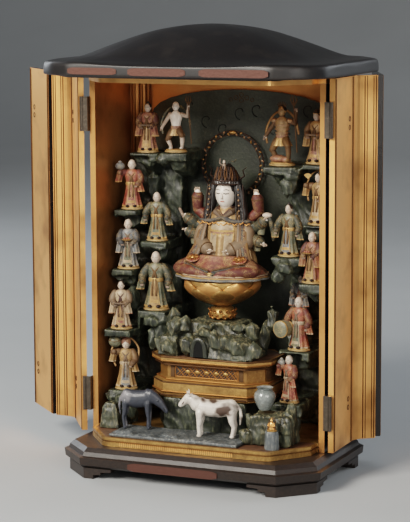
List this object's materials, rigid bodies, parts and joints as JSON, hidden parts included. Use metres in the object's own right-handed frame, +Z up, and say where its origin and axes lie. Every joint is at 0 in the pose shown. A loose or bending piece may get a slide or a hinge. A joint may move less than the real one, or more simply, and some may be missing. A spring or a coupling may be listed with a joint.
{
  "type": "home altar",
  "caption": "Lacquered and gilt household shrine with folding doors standing open on small painted wood figures among carved rocks.",
  "frame": {"origin": "under the middle of the open altar's bounding box, on the surface that its feet stand on", "axes": "+Z up, -Y towards the open front, +X to the viewer's right"},
  "size_m": [0.4044, 0.2406, 0.4506],
  "materials": {
    "black_lacquer": "polished black lacquer over wood, chipped at the edges",
    "gilt_wood": "gold leaf over wood, darkened with age",
    "green_rock": "carved wood painted as green-grey rock",
    "dark_relief": "carved dark relief board",
    "bronze_leaf": "bronze-toned leaf over carved wood",
    "hinge_metal": "darkened hinge metal",
    "goddess_paint": "painted and gilt robe, pale face and hands",
    "armour_paint": "painted and gilt carving",
    "robe_paint": "painted and gilt robe",
    "dark_hide": "dark blue-grey paint over carved wood",
    "pale_hide": "white paint with dark patches over carved wood",
    "jar_glaze": "smooth grey-white surface"
  },
  "bodies": {
    "cabinet": {"attendant_left_1": "robe_paint", "attendant_left_2": "robe_paint", "attendant_left_3": "robe_paint", "attendant_left_4": "robe_paint", "attendant_left_5": "robe_paint", "attendant_left_6": "robe_paint", "attendant_left_7": "robe_paint", "attendant_left_8": "robe_paint", "attendant_right_1": "robe_paint", "attendant_right_2": "robe_paint", "attendant_right_3": "robe_paint", "attendant_right_4": "robe_paint", "attendant_right_5": "robe_paint", "attendant_right_6": "robe_paint", "attendant_right_7": "robe_paint", "backdrop": "dark_relief", "base": "black_lacquer", "boulder_left": "green_rock", "ceiling": "gilt_wood", "corner_left": "gilt_wood", "corner_right": "gilt_wood", "crag_right": "green_rock", "dais": "gilt_wood", "floor_step": "gilt_wood", "foot_back_left": "black_lacquer", "foot_back_right": "black_lacquer", "foot_front_left": "black_lacquer", "foot_front_right": "black_lacquer", "goddess": "goddess_paint", "ground_rocks": "green_rock", "guardian": "armour_paint", "halo": "bronze_leaf", "horse": "dark_hide", "jar": "jar_glaze", "left_hinge_high": "hinge_metal", "left_hinge_low": "hinge_metal", "lotus_seat": "gilt_wood", "lotus_stem": "gilt_wood", "main_rock": "green_rock", "ox": "pale_hide", "right_hinge_high": "hinge_metal", "right_hinge_low": "hinge_metal", "rock_base": "green_rock", "rocks_left": "green_rock", "rocks_right": "green_rock", "roof": "black_lacquer", "small_idol": "gilt_wood", "wall_back": "gilt_wood", "wall_left": "gilt_wood", "wall_right": "gilt_wood"},
    "left_bent": {"left_bent_leaf": "gilt_wood", "left_fold_hinge_low": "hinge_metal", "left_fold_hinge_high": "hinge_metal"},
    "left_flat": {"left_flat_leaf": "gilt_wood"},
    "right_bent": {"right_bent_leaf": "gilt_wood", "right_fold_hinge_low": "hinge_metal", "right_fold_hinge_high": "hinge_metal"},
    "right_flat": {"right_flat_leaf": "gilt_wood"}
  },
  "joints": [
    {"name": "left_post_hinge", "type": "hinge", "parent": "cabinet", "child": "left_bent", "pos_m": [-0.0872, -0.03181, 0.215], "axis": [0, 0, 1], "range_deg": [-30, 184]},
    {"name": "left_fold_hinge", "type": "hinge", "parent": "left_bent", "child": "left_flat", "pos_m": [-0.15046, 0.03247, 0.215], "axis": [0, 0, 1], "range_deg": [-70, 41]},
    {"name": "right_post_hinge", "type": "hinge", "parent": "cabinet", "child": "right_bent", "pos_m": [0.1808, -0.03181, 0.215], "axis": [0, 0, 1], "range_deg": [-219, 0]},
    {"name": "right_fold_hinge", "type": "hinge", "parent": "right_bent", "child": "right_flat", "pos_m": [0.19576, 0.05713, 0.215], "axis": [0, 0, 1], "range_deg": [-75, 12]}
  ]
}
